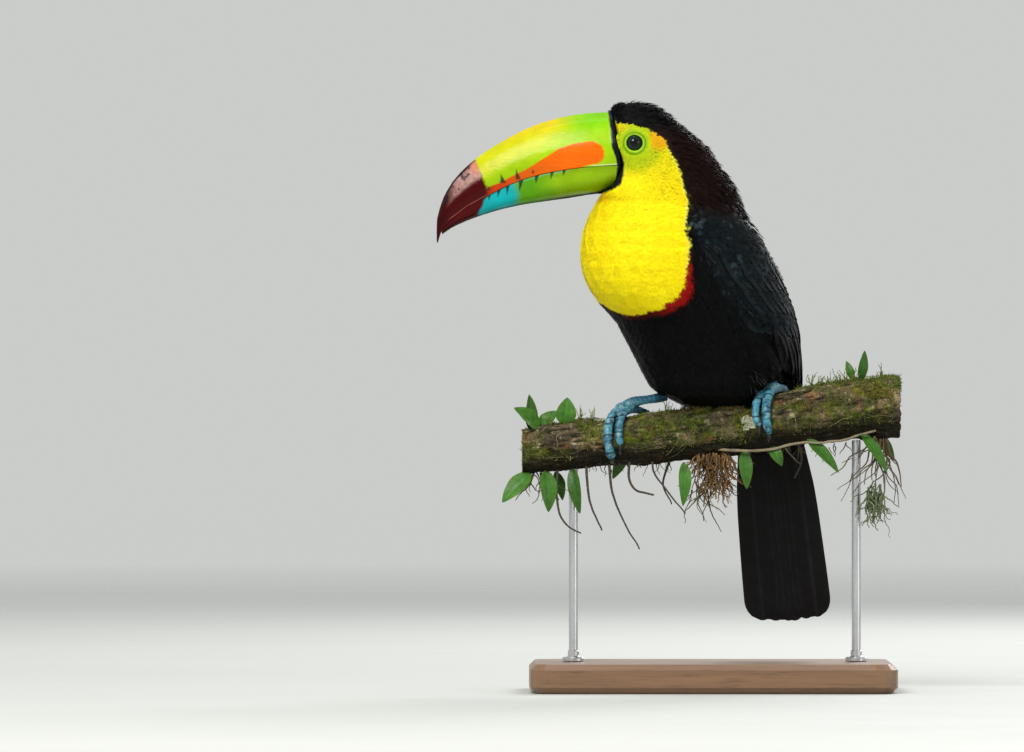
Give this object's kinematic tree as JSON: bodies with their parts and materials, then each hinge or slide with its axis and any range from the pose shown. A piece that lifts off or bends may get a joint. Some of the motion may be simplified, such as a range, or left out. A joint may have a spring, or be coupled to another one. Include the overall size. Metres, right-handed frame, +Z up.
{
  "type": "toucan on a perch, life-size museum model",
  "caption": "Still, life-size keel-billed toucan gripping a cut length of mossy branch, its head turned in profile, held above a flat wooden base by two short steel rods.",
  "frame": {"origin": "centre of the stand's underside", "axes": "+Z up; +X along the perch towards the bird's left foot, with the bill pointing along -X; -Y is the side that the chest and the front toes face"},
  "size_m": [0.3237, 0.168, 0.4114],
  "materials": {
    "plumage_black": "feathers, near-black with a faint blue-green gloss; maroon-brown on the nape",
    "plumage_yellow": "feathers, bright yellow on the face, throat and breast",
    "bill": "horn, smooth and glossy; lime green with an orange flame, a blue patch and a dark red tip",
    "eye": "polished, near-black with a dark green iris",
    "foot": "scaly skin, sky blue",
    "claw": "horn, dark grey",
    "bark": "rough bark with moss and lichen",
    "stand_wood": "oiled, satin",
    "stand_steel": "satin"
  },
  "bodies": {
    "root": {"head": "plumage_black", "neck": "plumage_yellow", "trunk": "plumage_black", "rump": "plumage_black", "wing_left": "plumage_black", "wing_right": "plumage_black", "tail": "plumage_black", "bill_upper": "bill", "bill_lower": "bill", "eye_left": "eye", "eye_right": "eye", "leg_left": "foot", "leg_right": "foot", "claw_left_inner": "claw", "claw_left_outer": "claw", "claw_left_hind_inner": "claw", "claw_left_hind_outer": "claw", "claw_right_inner": "claw", "claw_right_outer": "claw", "claw_right_hind_inner": "claw", "claw_right_hind_outer": "claw", "perch": "bark", "stand_base": "stand_wood", "stand_rod_left": "stand_steel", "stand_rod_right": "stand_steel"}
  },
  "joints": []
}
